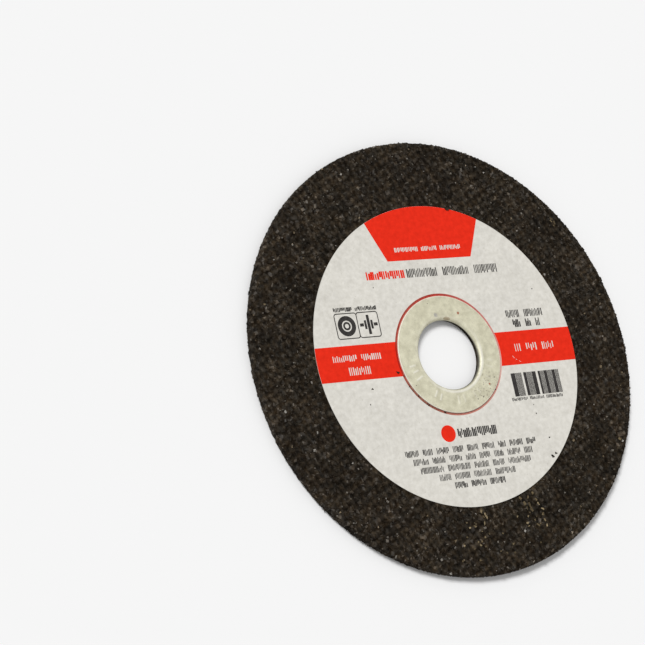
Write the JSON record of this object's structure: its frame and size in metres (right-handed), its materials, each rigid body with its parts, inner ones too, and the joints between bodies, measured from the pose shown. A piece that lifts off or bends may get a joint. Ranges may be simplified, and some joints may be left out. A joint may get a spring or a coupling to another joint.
{
  "type": "cut-off wheel",
  "caption": "Thin flat abrasive disc for cutting metal, with a round paper label on its face and a flanged sheet-metal ring lining its arbor hole.",
  "frame": {"origin": "centre of the plain back face, on the bore's axis", "axes": "+Z along the bore, from the back face out of the label; X and Y across the face, +X to the right and +Y up as the label reads"},
  "size_m": [0.1, 0.1, 0.0022],
  "materials": {
    "abrasive": "coarse resin-bonded grain, matt, near-black brown",
    "label_paper": "uncoated off-white paper with red and black print",
    "ring_metal": "dull plated sheet steel, pale straw colour"
  },
  "bodies": {
    "root": {"abrasive_disc": "abrasive", "paper_label": "label_paper", "arbor_ring": "ring_metal"}
  },
  "joints": []
}
